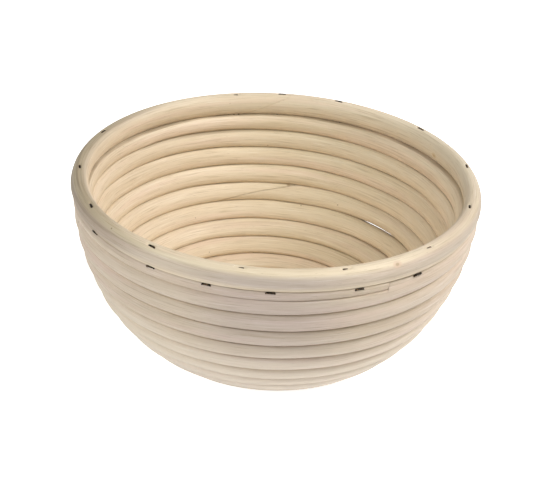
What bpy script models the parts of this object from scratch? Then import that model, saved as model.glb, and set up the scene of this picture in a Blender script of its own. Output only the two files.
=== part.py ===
"""Round bread-proofing basket coiled from peeled rattan cane and pinned with wire staples.

Units are metres, +Z is up and the origin is the centre of the underside, on the
table.  The front of the basket faces -Y.  Headings are measured from the front and
grow towards +X, so the wall coil climbs anticlockwise when seen from above.
"""

import math

import bmesh
import bpy
from mathutils import Vector

for old in list(bpy.data.objects):
    bpy.data.objects.remove(old, do_unlink=True)

# ---------------------------------------------------------------- driving dimensions

OUTER_RADIUS = 0.102          # over the rim
PITCH = 0.0100                # one turn of the coil, measured along the wall
GAP = 0.0003                  # clearance left between touching pieces
CANE_ROUND = 0.0107           # diameter of the cane before its contact faces are planed
CANE_THICK = 0.0104           # through the wall

RIM_RADIUS = 0.0976           # centre of the rim cane
RIM_HALF_WIDE = 0.0044
RIM_HALF_TALL = 0.0060
RIM_PLANED = 0.00555          # centre of the rim cane down to its planed underside
ROUND_LIMIT = 0.985           # a section stops here, as a share of the round cane's radius
ROUND_ROW = 0.59              # height of the sections' in-between corners, as a share

WALL_TOP_RADIUS = 0.0965      # middle of the wall where the coil begins
WALL_TOP_DROP = 0.0048        # that point below the centre of the rim cane
LEAN_AT_TOP = math.radians(7.0)
LEAN_GAIN = math.radians(61.7)
LEAN_POWER = 1.40
CORNER_START = 0.1034         # along the wall, where the coil starts to turn into the floor
CORNER_LONG = 0.0163
FLOOR_MIDDLE = 0.0043         # middle of the floor cane above its planed underside
WALL_STEP = 0.0005            # between the points traced along the wall
PAST_AXIS = 0.006             # how far the traced line runs on beyond the centre of the floor

FIRST_EDGE = 0.0044           # lower edge of the top turn at the front, along the wall
UNDER_RIM = 0.0010            # the planed underside of the rim, along the wall

# Ends of the cane lengths, counted in turns down the coil from the front.
TONGUE_TIP = -33.0 / 360.0
LEVELLING_SCARF = (240.0 / 360.0, 322.0 / 360.0)
UPPER_SCARF = (4.0 + 157.0 / 360.0, 4.0 + 187.0 / 360.0)
LOWER_SCARF = (9.0 + 110.0 / 360.0, 9.0 + 152.0 / 360.0)
RIM_SCARF = (177.0, 192.0)    # headings in degrees
FEATHER = 0.07                # thickness left at the tip of a scarf, as a share of the cane
SCARF_GAP = 0.036             # clearance along a scarf, as a share of the cane
NOTCH = 1.0 + TONGUE_TIP - 0.0008    # step cut in the coil to take the tip of the tongue
NOTCH_SLOPE = 0.0004
WEDGE_OPEN = 0.12             # share of the wedge under the rim that stays open
COIL_CORE = 0.0006            # radius left open at the very centre of the floor
COIL_TIP = 0.0026             # width left at the tapered inner end of the floor coil

SLICES_UPPER = 48             # sections in a turn
SLICES_LOWER = 40
SLICE_LEAST = 0.3             # closest that a section comes to the end of a scarf, as a share
SMOOTH_UP_TO = math.radians(42)    # sharper edges between faces stay crisp

STAPLE_CROWN = 0.0046         # over the legs
STAPLE_WIRE = 0.0010
STAPLE_BEND = 0.0006          # radius of the bends, along the middle of the wire
SIDES = 6                     # of the wire
RIM_LEG = 0.0122
RIM_LEG_TILT = math.radians(7.0)
RIM_CROWN_OUT = 0.0010        # outward from the centre of the rim cane
RIM_CROWN_SUNK = 0.0004       # below the round top of the cane
SEAM_LEG = 0.0070
SEAM_LEG_TILT = math.radians(42.0)
SEAM_CROWN_OUT = 0.0026
SEAM_CROWN_DROP = 0.0054      # below the centre of the rim cane
RIM_STAPLE_HEADINGS = (-111, -86, -61, -32, -8, 20, 47, 75, 102, 130, 161, 179, 196)
SEAM_STAPLE_HEADINGS = (-55, -34, -17, 0, 25, 43)


# ---------------------------------------------------------------- shape of the wall

def ease(x):
    x = min(max(x, 0.0), 1.0)
    return x * x * (3.0 - 2.0 * x)


def lean(s):
    """Angle of the wall from upright at distance s down the wall."""
    wall = LEAN_AT_TOP + LEAN_GAIN * (max(s, 0.0) / OUTER_RADIUS) ** LEAN_POWER
    turn = ease((s - CORNER_START) / CORNER_LONG)
    return min(wall + (math.pi / 2 - wall) * turn, math.pi / 2)


def trace_wall():
    """Walk down the wall in short steps: (distance, radius, drop below the rim centre)."""
    step = WALL_STEP
    points = [(0.0, WALL_TOP_RADIUS, WALL_TOP_DROP)]
    while points[-1][1] > -PAST_AXIS:
        s, radius, drop = points[-1]
        angle = lean(s + step / 2)
        points.append((s + step, radius - math.sin(angle) * step, drop + math.cos(angle) * step))
    return points


WALL = trace_wall()
RIM_HEIGHT = FLOOR_MIDDLE + WALL[-1][2]
CENTRE = min(WALL, key=lambda point: abs(point[1]))[0]    # along the wall, at the axis


def wall_point(s):
    """Radius, height and lean of the middle of the wall at distance s."""
    place = max(s, 0.0) / WALL_STEP
    index = min(int(place), len(WALL) - 2)
    part = min(place - index, 1.0)
    first, second = WALL[index], WALL[index + 1]
    radius = first[1] + (second[1] - first[1]) * part
    drop = first[2] + (second[2] - first[2]) * part
    if s < 0.0:
        radius -= math.sin(lean(0.0)) * s
        drop += math.cos(lean(0.0)) * s
    return radius, RIM_HEIGHT - drop, lean(s)


def on_circle(radius, height, heading):
    return Vector((radius * math.sin(heading), -radius * math.cos(heading), height))


# ---------------------------------------------------------------- mesh helpers

def cane_section(low, high, half_thick, half_round, middle=0.0):
    """Section of a round cane kept between two planed faces, as (outward, upward) pairs."""
    reach = (high - low) / 2
    rows = [low + reach * (1.0 + share) for share in (-1.0, -ROUND_ROW, 0.0, ROUND_ROW, 1.0)]
    widths = []
    for row in rows:
        inside = max(min((row - middle) / half_round, ROUND_LIMIT), -ROUND_LIMIT)
        widths.append(half_thick * math.sqrt(1.0 - inside * inside))
    outer = list(zip(widths, rows))
    inner = [(-width, row) for width, row in reversed(outer)]
    return outer + inner


def skin(name, rings):
    """Closed body through a row of equal sections."""
    mesh = bpy.data.meshes.new(name)
    build = bmesh.new()
    loops = [[build.verts.new(point) for point in ring] for ring in rings]
    count = len(loops[0])
    for near, far in zip(loops, loops[1:]):
        for k in range(count):
            build.faces.new((near[k], near[(k + 1) % count], far[(k + 1) % count], far[k]))
    build.faces.new(loops[0])
    build.faces.new(loops[-1])
    bmesh.ops.recalc_face_normals(build, faces=build.faces)
    build.to_mesh(mesh)
    build.free()
    thing = bpy.data.objects.new(name, mesh)
    bpy.context.scene.collection.objects.link(thing)
    return thing


def finish(thing, material):
    """Give the body its material and shade the rounded faces smooth."""
    thing.data.materials.clear()
    thing.data.materials.append(material)
    thing.data.shade_smooth()
    thing.data.set_sharp_from_angle(angle=SMOOTH_UP_TO)
    return thing


def material(name, colour, roughness, metallic):
    made = bpy.data.materials.new(name)
    made.use_nodes = True
    shader = made.node_tree.nodes["Principled BSDF"]
    shader.inputs["Base Color"].default_value = (*colour, 1.0)
    shader.inputs["Roughness"].default_value = roughness
    shader.inputs["Metallic"].default_value = metallic
    made.diffuse_color = (*colour, 1.0)
    return made


# ---------------------------------------------------------------- coiled canes

def edges_of_turn(turns):
    """Upper and lower edge of the coil, along the wall, so many turns down."""
    lower = FIRST_EDGE + PITCH * turns
    upper = lower - PITCH
    if turns < NOTCH:
        # the thicker top turn fills nearly all of the wedge under the level rim
        upper = UNDER_RIM + WEDGE_OPEN * max(upper - UNDER_RIM, 0.0)
    return upper, min(lower, CENTRE - COIL_CORE)


def coil_ring(turns, share_low, share_high):
    """Section of the coil between two heights, each a share of the planed cane."""
    upper, lower = edges_of_turn(turns)
    centre = FIRST_EDGE + PITCH * (turns - 0.5)
    low = centre - lower + GAP / 2
    high = centre - upper - GAP / 2
    swell = max(high - (PITCH - GAP) / 2, 0.0)
    bottom = low + (high - low) * share_low
    top = low + (high - low) * share_high
    radius, height, angle = wall_point(centre)
    heading = -2 * math.pi * turns
    outward = Vector((math.cos(angle), -math.sin(angle)))
    upward = Vector((math.sin(angle), math.cos(angle)))
    half_round = (CANE_ROUND + swell) / 2
    ring = []
    for across, along in cane_section(bottom, top, CANE_THICK / 2, half_round, swell / 2):
        flat = Vector((radius, height)) + outward * across + upward * along
        ring.append(on_circle(flat.x, max(flat.y, 0.0), heading))
    return ring


def turns_between(first, last, slices, marks=()):
    """Whole slices between two places on the coil, with the ends and marks kept."""
    kept = sorted({first, last, *marks})
    whole = [k / slices for k in range(math.ceil(first * slices), math.floor(last * slices) + 1)]
    free = [t for t in whole if min(abs(t - mark) for mark in kept) > SLICE_LEAST / slices]
    return sorted(kept + free)


def scarf_line(turns, scarf):
    """Height of a scarf, as a share of the cane, rising down the coil."""
    part = (turns - scarf[0]) / (scarf[1] - scarf[0])
    return FEATHER + (1.0 - 2.0 * FEATHER) * part


def coil_length(name, begin, end, slices, shade, marks=()):
    """One length of cane between two scarfs; a plain end is a scarf of no length."""
    rings = []
    for turns in turns_between(begin[0], end[1], slices, (begin[1], end[0], *marks)):
        share_low, share_high = 0.0, 1.0
        if begin[0] != begin[1] and turns <= begin[1]:
            share_high = scarf_line(turns, begin) - SCARF_GAP / 2
        if end[0] != end[1] and turns >= end[0]:
            share_low = scarf_line(turns, end) + SCARF_GAP / 2
        rings.append(coil_ring(turns, share_low, share_high))
    return finish(skin(name, rings), shade)


def floor_end():
    """Turns down the coil where the floor coil has tapered away at the centre."""
    return (CENTRE - COIL_TIP - FIRST_EDGE) / PITCH + 1.0


def rim_ring(heading, share_low, share_high):
    low, high = -RIM_PLANED, RIM_HALF_TALL * ROUND_LIMIT
    bottom = low + (high - low) * share_low
    top = low + (high - low) * share_high
    return [on_circle(RIM_RADIUS + across, RIM_HEIGHT + along, heading)
            for across, along in cane_section(bottom, top, RIM_HALF_WIDE, RIM_HALF_TALL)]


def rim_cane(shade):
    """Level ring whose two ends lie over one another in a long scarf."""
    start, stop = (degrees / 360.0 for degrees in RIM_SCARF)
    rings = []
    for turns in turns_between(start, 1.0 + stop, SLICES_UPPER, (stop, 1.0 + start)):
        share_low, share_high = 0.0, 1.0
        if turns <= stop:
            share_low = 1.0 - scarf_line(turns, (start, stop)) + SCARF_GAP / 2
        if turns >= 1.0 + start:
            share_high = 1.0 - scarf_line(turns, (1.0 + start, 1.0 + stop)) - SCARF_GAP / 2
        rings.append(rim_ring(2 * math.pi * turns, share_low, share_high))
    return finish(skin("rim_cane", rings), shade)


# ---------------------------------------------------------------- staples

def staple_path(leg, spare):
    """Middle of the wire: down one leg, over the crown, down the other."""
    half = (STAPLE_CROWN - STAPLE_WIRE) / 2
    bend = STAPLE_BEND
    corner = bend * (1.0 - math.cos(math.radians(45)))
    return [(-half, -leg - spare), (-half, -bend), (-half + corner, -corner), (-half + bend, 0.0),
            (half - bend, 0.0), (half - corner, -corner), (half, -bend), (half, -leg - spare)]


def staple(name, crown, along, inward, leg, swell):
    """Bent wire; crown is the middle of its top, along runs with it, inward down the legs."""
    aside = along.cross(inward).normalized()
    path = [crown + along * x - inward * y for x, y in staple_path(leg, swell)]
    rings = []
    for k, point in enumerate(path):
        before = point - path[k - 1] if k > 0 else path[1] - point
        after = path[k + 1] - point if k + 1 < len(path) else before
        direction = (before.normalized() + after.normalized()).normalized()
        across = direction.cross(aside).normalized()
        radius = STAPLE_WIRE / 2 + swell
        rings.append([point + (aside * math.cos(a) + across * math.sin(a)) * radius
                      for a in (math.pi * (2 * j + 1) / SIDES for j in range(SIDES))])
    return skin(name, rings)


def rim_staple(name, degrees, swell=0.0):
    heading = math.radians(degrees)
    rise = RIM_HALF_TALL * math.sqrt(1.0 - (RIM_CROWN_OUT / RIM_HALF_WIDE) ** 2)
    crown = on_circle(RIM_RADIUS + RIM_CROWN_OUT, RIM_HEIGHT + rise - RIM_CROWN_SUNK, heading)
    along = Vector((math.cos(heading), math.sin(heading), 0.0))
    out = Vector((math.sin(heading), -math.cos(heading), 0.0))
    inward = (-out * math.sin(RIM_LEG_TILT) - Vector((0, 0, 1)) * math.cos(RIM_LEG_TILT))
    return staple(name, crown, along, inward, RIM_LEG, swell)


def seam_staple(name, degrees, swell=0.0):
    heading = math.radians(degrees)
    crown = on_circle(RIM_RADIUS + SEAM_CROWN_OUT, RIM_HEIGHT - SEAM_CROWN_DROP, heading)
    along = Vector((math.cos(heading), math.sin(heading), 0.0))
    out = Vector((math.sin(heading), -math.cos(heading), 0.0))
    inward = (-out * math.sin(SEAM_LEG_TILT) - Vector((0, 0, 1)) * math.cos(SEAM_LEG_TILT))
    return staple(name, crown, along, inward, SEAM_LEG, swell)


def merged(name, things):
    """One cutter holding several separate bodies."""
    build = bmesh.new()
    for thing in things:
        build.from_mesh(thing.data)
        bpy.data.objects.remove(thing, do_unlink=True)
    mesh = bpy.data.meshes.new(name)
    build.to_mesh(mesh)
    build.free()
    whole = bpy.data.objects.new(name, mesh)
    bpy.context.scene.collection.objects.link(whole)
    return whole


def pierce(target, cutters):
    """Open the seats and leg holes of the staples in one cane."""
    for cutter in cutters:
        change = target.modifiers.new("seat", "BOOLEAN")
        change.operation = "DIFFERENCE"
        change.solver = "EXACT"
        change.object = cutter
    view = bpy.context.view_layer
    view.update()
    solid = bpy.data.meshes.new_from_object(target.evaluated_get(view.depsgraph))
    target.modifiers.clear()
    target.data = solid
    target.data.shade_smooth()
    target.data.set_sharp_from_angle(angle=SMOOTH_UP_TO)


# ---------------------------------------------------------------- the basket

cane_rim = material("cane_rim", (0.72, 0.62, 0.48), 0.55, 0.0)
cane_top = material("cane_top_turn", (0.70, 0.60, 0.47), 0.57, 0.0)
cane_upper = material("cane_upper_wall", (0.71, 0.60, 0.45), 0.58, 0.0)
cane_lower = material("cane_lower_wall", (0.69, 0.58, 0.44), 0.60, 0.0)
cane_floor = material("cane_floor", (0.68, 0.56, 0.41), 0.62, 0.0)
wire_rim = material("wire_rim_staples", (0.050, 0.042, 0.036), 0.45, 0.85)
wire_seam = material("wire_seam_staples", (0.040, 0.034, 0.030), 0.50, 0.85)

rim = rim_cane(cane_rim)
top_turn = coil_length("levelling_cane", (TONGUE_TIP, TONGUE_TIP), LEVELLING_SCARF,
                       SLICES_UPPER, cane_top)
upper_wall = coil_length("wall_cane_upper", LEVELLING_SCARF, UPPER_SCARF,
                         SLICES_UPPER, cane_upper, (NOTCH - NOTCH_SLOPE, NOTCH))
lower_wall = coil_length("wall_cane_lower", UPPER_SCARF, LOWER_SCARF,
                         SLICES_LOWER, cane_lower)
inner_end = floor_end()
floor = coil_length("floor_cane", LOWER_SCARF, (inner_end, inner_end),
                    SLICES_LOWER, cane_floor)

rim_seats, seam_seats = [], []
for number, degrees in enumerate(RIM_STAPLE_HEADINGS, start=1):
    finish(rim_staple(f"rim_staple_{number:02d}", degrees), wire_rim)
    rim_seats.append(rim_staple(f"rim_seat_{number:02d}", degrees, GAP))
for number, degrees in enumerate(SEAM_STAPLE_HEADINGS, start=1):
    finish(seam_staple(f"seam_staple_{number:02d}", degrees), wire_seam)
    seam_seats.append(seam_staple(f"seam_seat_{number:02d}", degrees, GAP))

seats = [merged("rim_seats", rim_seats), merged("seam_seats", seam_seats)]
for cane in (rim, top_turn, upper_wall):
    pierce(cane, seats)
for seat in seats:
    bpy.data.objects.remove(seat, do_unlink=True)
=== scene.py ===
"""Looks of the round bread-proofing basket: fine cane, bent wire and a plain studio.

Lengths are metres.  The basket is a coil: a place on it is given by the turns down the
coil from the front, the distance down the wall, and the distance outward from the
middle of the wall.  The coil runs down towards -X.  Headings are measured from the front
and grow towards +X.
"""
import math

import bpy
import numpy as np
from mathutils import Matrix, Vector


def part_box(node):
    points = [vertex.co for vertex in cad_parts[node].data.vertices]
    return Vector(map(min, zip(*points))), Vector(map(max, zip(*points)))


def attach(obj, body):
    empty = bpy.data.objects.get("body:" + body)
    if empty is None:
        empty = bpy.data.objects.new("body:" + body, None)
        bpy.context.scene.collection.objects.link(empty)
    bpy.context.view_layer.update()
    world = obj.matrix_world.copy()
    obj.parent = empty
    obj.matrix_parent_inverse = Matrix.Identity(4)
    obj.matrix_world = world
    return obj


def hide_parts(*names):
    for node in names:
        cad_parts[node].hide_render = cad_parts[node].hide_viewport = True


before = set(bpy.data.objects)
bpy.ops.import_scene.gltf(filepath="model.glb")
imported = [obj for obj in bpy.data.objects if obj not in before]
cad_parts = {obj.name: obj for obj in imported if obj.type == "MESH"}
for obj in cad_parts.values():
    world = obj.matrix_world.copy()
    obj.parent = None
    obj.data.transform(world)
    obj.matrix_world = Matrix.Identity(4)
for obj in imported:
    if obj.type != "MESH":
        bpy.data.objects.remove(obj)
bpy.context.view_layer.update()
rim_low, rim_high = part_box("rim_cane")

# ---------------------------------------------------------------- sizes of the basket

PITCH = 0.0100                    # one turn of the coil, measured along the wall
CANE_THICK = 0.0104               # through the wall
FULLNESS = 1.15                   # round cane against the height left by planing
ROUNDNESS = 2.2                   # 2 is a round section, more is squarer
OUTER_ROUNDNESS = 1.9             # the same on the outside of the basket
LEAST_ROUND = 0.0046              # half height of the round cane that a thin one is cut from
LEAST_ROUND_HALF = 0.0015         # down to this half height, and in proportion below it
THINNED = 0.72                    # share of its thickness that a cane planed thin keeps
UNEVEN = 0.012                    # share by which a cane's section wanders
WANDER = 0.00012                  # and by which it strays outward
RIM_WANDER = 0.00010

RIM_HALF_WIDE = 0.0044
RIM_HALF_TALL = 0.0060
RIM_PLANED = 0.00555              # centre of the rim cane down to its planed underside
RIM_EXTRA_PLANED = 0.00135        # more is planed away from it at the front
RIM_PLANED_AT = math.radians(-14.0)
RIM_LEFT_PLANED = 0.0012          # and more again on its left
RIM_LEFT_AT = math.radians(-80.0)
RIM_TOP_SHARE = 0.985
FACET_TOP = -0.0002               # the rim is shaved below this height on its outer side
FACET_OUT = 0.00434
FACET_SLOPE = 0.30
FACET_AT = math.radians(-20.0)    # heading at the middle of that facet
FACET_RUN_UP = 0.0015             # height over which it meets the round side
FACET_LIFT = 0.002                # enough to lift it clear where the rim isn't shaved
RIM_RADIUS = (rim_high.x - rim_low.x) / 2 - RIM_HALF_WIDE
RIM_HEIGHT = rim_high.z - RIM_HALF_TALL * RIM_TOP_SHARE

WALL_TOP_RADIUS = RIM_RADIUS - 0.0011
WALL_TOP_DROP = 0.0048
OUTER_RADIUS = RIM_RADIUS + RIM_HALF_WIDE
LEAN_AT_TOP = math.radians(7.0)
LEAN_GAIN = math.radians(61.7)
LEAN_POWER = 1.40
CORNER_START = 0.1034
CORNER_LONG = 0.0163
WALL_LONG = 0.17                  # more than the way from the top to the axis
WALL_STEP = 0.00025
ABOVE_WALL = 0.012                # the wall's line carried on above its top

FACE_TILT = 0.62                  # share of the wall's lean that the planed faces give up
FACE_TILT_ENDS = (0.085, 0.110)   # they follow the floor again between these places

FIRST_EDGE = 0.0044               # lower edge of the top turn at the front
HIGHER = 0.00055                  # the next few edges lie this much above an even pitch
HIGHER_HALVED = (3.5, 6.5)        # which is halved between these turns
HIGHER_GONE = (7.0, 9.5)          # and gone after these
EDGE_WANDER = 0.00014             # unevenness of the edges
EDGE_WANDER_IN = (0.6, 1.2)       # turns over which it sets in
EDGE_WANDER_OUT = (10.5, 12.5)    # and dies out
CALM_FLOOR = (12.5, 14.0)         # the cane itself is even after these turns
TONGUE_TIP = -32.5 / 360.0
LEVELLING_SCARF = (240.0 / 360.0, 322.0 / 360.0)
UPPER_SCARF = (4.0 + 157.0 / 360.0, 4.0 + 187.0 / 360.0)
LOWER_SCARF = (9.0 + 110.0 / 360.0, 9.0 + 152.0 / 360.0)
RIM_SCARF = (177.0 / 360.0, 192.0 / 360.0)
FEATHER = 0.02                    # share of the cane left at the thin end of a scarf
NOTCH = 1.0 + TONGUE_TIP - 0.0002
NOTCH_SLOPE = 0.0014              # turns taken by the step at the notch
WEDGE_OPEN = 0.12                 # share of the climb that is left open under the rim
NOTCH_FADE = 0.16                 # turns over which the notched cane finds its own shape
RISE = 0.0008                     # the coil's lower edge is pulled up this much beside the notch
RISE_TOP = 0.88                   # turns down to the middle of that stretch
RISE_ENDS = (0.28, 0.17)          # turns over which that fades, before and after
DARK_AT = 0.415                   # turns down to a stretch of darker groove under a turn
DARK_ENDS = (0.0375, 0.10)        # turns from there over which it fades
DARKER = 0.00100                  # the stain and painted groove shade there reach this much further
FAINT = 0.0006                    # the stain and painted groove shade are held back this much beside the tongue
FAINT_ENDS = (0.09, 0.24)         # turns past the front over which that fades
CLEAR_OF_STAIN_AND_SHADE = 0.004                 # a distance from a seam that neither stain nor painted groove shade reaches
RIM_INSIDE_HELD_BACK = 0.0003         # the stain and painted groove shade are held back this much on the rim's inner side
SLIT_AT = 4.6250                  # turns down to the middle of a slit between two turns
SLIT_HALF = 0.0290
SLIT_OPEN = 0.00029               # half of its width
SLIT_BLUNT = 1.8                  # 1 is a slit pointed at both ends, more is blunter
SLIT_ROUNDER = 0.11               # share by which the sections there are rounder
SLIT_TURNED = 0.80                # share by which the faces beside it are turned down
COIL_CORE = 0.0003                # radius of the hole at the centre of the floor
COIL_TIP = 0.0014                 # the cane ends this far short of the centre
LEAST_RADIUS = 0.0008             # used for lengths along the cane near the centre

TOUCH = 0.00004                   # left between pieces that press on one another
SCARF_TOUCH = 0.00004             # the same between the halves of a scarf
STATION = 0.0016                  # along the cane between sections
FINE_STATION = 0.00028            # the same beside a staple
FINE_REACH = 0.0042               # how far from its middle
STATION_GROWTH = 0.25             # growth of the spacing beyond that
STATION_APART = 0.0003            # a station is this clear of one that has to be kept
END_TURNS = 0.0006                # the cut end of a cane is eased over this many turns
END_SHARE = 0.95                  # to this share of its thickness

TURN = 2 * math.pi


# ---------------------------------------------------------------- line of the wall

def ease(x):
    x = np.clip(x, 0.0, 1.0)
    return x * x * (3.0 - 2.0 * x)


def between(x, low, high):
    """Eased share of the way from low to high."""
    return ease((x - low) / (high - low))


def lean(s):
    """Angle of the wall from upright at distance s down the wall."""
    wall = LEAN_AT_TOP + LEAN_GAIN * (np.maximum(s, 0.0) / OUTER_RADIUS) ** LEAN_POWER
    turn = ease((s - CORNER_START) / CORNER_LONG)
    return np.minimum(wall + (math.pi / 2 - wall) * turn, math.pi / 2)


def trace_wall():
    """Distance down the wall, radius and height of its middle, and its lean."""
    count = int(WALL_LONG / WALL_STEP)
    s = np.arange(count) * WALL_STEP
    middle = lean(s[:-1] + WALL_STEP / 2)
    radius = WALL_TOP_RADIUS - np.concatenate(([0.0], np.cumsum(np.sin(middle)))) * WALL_STEP
    drop = WALL_TOP_DROP + np.concatenate(([0.0], np.cumsum(np.cos(middle)))) * WALL_STEP
    top = -ABOVE_WALL
    s = np.concatenate(([top], s))
    radius = np.concatenate(([radius[0] - math.sin(LEAN_AT_TOP) * top], radius))
    drop = np.concatenate(([drop[0] + math.cos(LEAN_AT_TOP) * top], drop))
    return s, radius, RIM_HEIGHT - drop, lean(s)


WALL_S, WALL_RADIUS, WALL_HEIGHT, WALL_LEAN = trace_wall()
CENTRE = float(np.interp(0.0, -WALL_RADIUS, WALL_S))     # along the wall, at the axis


def on_circle(radius, height, heading):
    return np.stack((radius * np.sin(heading), -radius * np.cos(heading), height), axis=-1)


def beside_slit(turns, s):
    """One at the slit, fading to nothing a cane's width away from it."""
    along = 1.0 - np.abs(turns % 1.0 - SLIT_AT % 1.0) / (4.0 * SLIT_HALF)
    across = 1.0 - np.abs(s - FIRST_EDGE - PITCH * SLIT_AT) / PITCH
    return ease(1.4 * along) * ease(SLIT_BLUNT * across)


def on_wall(turns, s, out):
    """Points of the coiled wall, with planed faces that lie nearer to level than square."""
    level = 1.0 - between(s, *FACE_TILT_ENDS)
    level = level * (1.0 - SLIT_TURNED * beside_slit(turns, s))
    s = s - out * np.tan(FACE_TILT * level * np.interp(s, WALL_S, WALL_LEAN))
    tilt = np.interp(s, WALL_S, WALL_LEAN)
    radius = np.interp(s, WALL_S, WALL_RADIUS) + out * np.cos(tilt)
    height = np.interp(s, WALL_S, WALL_HEIGHT) - out * np.sin(tilt)
    return on_circle(radius, np.maximum(height, 0.0), -TURN * turns)


# ---------------------------------------------------------------- hand-made unevenness

def waves(seed, x, longest, shortest, count=7):
    """Smooth wandering line of about unit size; x and the wave lengths share one unit."""
    dice = np.random.default_rng(seed)
    total = np.zeros_like(x, dtype=float)
    weight = 0.0
    for share in np.linspace(0.0, 1.0, count):
        length = longest * (shortest / longest) ** share * dice.uniform(0.85, 1.15)
        size = (length / longest) ** 0.5
        total += size * np.sin(TURN * (x / length + dice.uniform()))
        weight += size * size / 2
    return total / math.sqrt(weight)


def measure_coil(first=-0.2, past_centre=1.2, count=6000):
    """Many places down the coil in turns, and the distance along the cane to each."""
    turns = np.linspace(first, (CENTRE - FIRST_EDGE) / PITCH + past_centre, count)
    middle = FIRST_EDGE + PITCH * (turns - 0.5)
    radius = np.maximum(np.abs(np.interp(middle, WALL_S, WALL_RADIUS)), LEAST_RADIUS)
    steps = TURN * (radius[1:] + radius[:-1]) / 2 * np.diff(turns)
    return turns, np.concatenate(([0.0], np.cumsum(steps)))


LINE_TURNS, LINE_LENGTH = measure_coil()


def cane_length(turns):
    """Distance along the cane from the front of the top turn."""
    return np.interp(turns, LINE_TURNS, LINE_LENGTH)


def edge(turns):
    """Lower edge of the coil, along the wall, so many turns down."""
    line = FIRST_EDGE + PITCH * turns
    higher = HIGHER * ease(turns) * (1.0 - 0.5 * between(turns, *HIGHER_HALVED))
    line = line - higher * (1.0 - between(turns, *HIGHER_GONE))
    before, after = RISE_ENDS
    away = np.where(turns < RISE_TOP, (RISE_TOP - turns) / before, (turns - RISE_TOP) / after)
    line = line - RISE * (1.0 - ease(away))
    size = EDGE_WANDER * between(turns, *EDGE_WANDER_IN) * (1.0 - between(turns, *EDGE_WANDER_OUT))
    line = line + size * waves(11, cane_length(turns), longest=0.30, shortest=0.030)
    return np.minimum(line, CENTRE - COIL_CORE)


def slit(turns):
    """Half of the opening left under the coil, where two turns do not quite meet."""
    open_there = np.clip(1.0 - np.abs((turns - SLIT_AT) / SLIT_HALF), 0.0, 1.0)
    return SLIT_OPEN * ease(open_there * SLIT_BLUNT)


def facing(heading, middle, least, full):
    """One about a heading, easing to nothing where the cosine to it falls to least."""
    return between(np.cos(heading - middle), least, full)


def rim_drop(heading):
    """Height from the centre of the rim cane down to its planed underside."""
    front = facing(heading, RIM_PLANED_AT, 0.10, 0.85)
    left = facing(heading, RIM_LEFT_AT, 0.70, 1.00)
    return RIM_PLANED - RIM_EXTRA_PLANED * front - RIM_LEFT_PLANED * left


def edges_of_turn(turns):
    """Upper and lower side of the coil, along the wall."""
    lower = edge(turns) - slit(turns)
    upper = edge(turns - 1.0) + slit(turns - 1.0)
    return np.where(turns < NOTCH, under_rim(turns), upper), lower


def under_rim(turns):
    """Upper side of a cane thick enough to fill the wedge under the rim."""
    under = (rim_drop(-TURN * turns) - WALL_TOP_DROP) / math.cos(LEAN_AT_TOP)
    plain = FIRST_EDGE + PITCH * (turns - 1.0)
    return under + WEDGE_OPEN * np.maximum(plain - under, 0.0)


# ---------------------------------------------------------------- section of a cane

ARC = 19                          # points on each rounded side
RIM_ARC = 37                      # the same on the rim
FLAT = 5                          # points across each planed face
CROWDING = 0.035                  # how far those points crowd towards the planed faces
ROUND_OFF = 0.00028               # how far the corner of a planed face is worn
WEAR = 0.4                        # share of the way to the middle of the worn corner


def bulge(share, power):
    """Half thickness at a height, both as a share of the round cane's."""
    return (1.0 - np.minimum(np.abs(share), 0.999) ** power) ** (1.0 / power)


def section(bottom, top, half_round, thick_out, thick_in, powers, arc=ARC, kept=(0.0, 0.0)):
    """Outline of a planed cane, as out and up for each station (stations x points)."""
    steps = np.linspace(0.0, 1.0, arc)
    steps = steps + CROWDING * np.sin(TURN * steps)

    def side(power, thick):
        def angle(height):
            share = np.clip(height / half_round, -0.999, 0.999)
            return np.sign(share) * np.arcsin(np.abs(share) ** (power / 2))

        low, high = angle(bottom), angle(top)
        theta = low[:, None] + (high - low)[:, None] * steps[None, :]
        arc_out = np.abs(np.cos(theta)) ** (2 / power) * thick[:, None]
        arc_up = np.sign(theta) * np.abs(np.sin(theta)) ** (2 / power) * half_round[:, None]
        arc_up[:, 0], arc_up[:, -1] = bottom, top
        return (arc_out, arc_up, bulge(bottom / half_round, power) * thick,
                bulge(top / half_round, power) * thick)

    outer, outer_up, outer_low, outer_high = side(powers[0], thick_out)
    inner, inner_up, inner_low, inner_high = side(powers[1], thick_in)
    across = np.linspace(1.0, 0.0, FLAT + 2)[1:-1]
    top_flat = outer_high[:, None] * across - inner_high[:, None] * (1.0 - across)
    low_flat = -inner_low[:, None] * across + outer_low[:, None] * (1.0 - across)
    out = np.concatenate((outer, top_flat, -inner[:, ::-1], low_flat), axis=1)
    up = np.concatenate((outer_up, np.repeat(top[:, None], FLAT, 1),
                         inner_up[:, ::-1], np.repeat(bottom[:, None], FLAT, 1)), axis=1)
    return wear_corners(out, up, arc, kept)


def wear_corners(out, up, arc, kept):
    """Ease the four corners of the planed faces; kept is one where a corner stays crisp."""
    count = out.shape[1]
    worn_out, worn_up = out.copy(), up.copy()
    low, high = kept
    corners = ((0, low), (arc - 1, high), (arc + FLAT, high), (2 * arc + FLAT - 1, low))
    for corner, crisp in corners:
        here = np.stack((out[:, corner], up[:, corner]), axis=-1)
        pulled = np.zeros_like(here)
        for beside in ((corner - 1) % count, (corner + 1) % count):
            step = np.stack((out[:, beside], up[:, beside]), axis=-1) - here
            size = np.linalg.norm(step, axis=1, keepdims=True)
            pulled += step / np.maximum(size, 1e-7) * np.minimum(ROUND_OFF, size * 0.45)
        worn_out[:, corner] = here[:, 0] + pulled[:, 0] * WEAR * (1.0 - crisp)
        worn_up[:, corner] = here[:, 1] + pulled[:, 1] * WEAR * (1.0 - crisp)
    return worn_out, worn_up


# ---------------------------------------------------------------- meshes

SHARP = math.radians(50)          # edges sharper than this aren't shaded smooth


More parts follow.
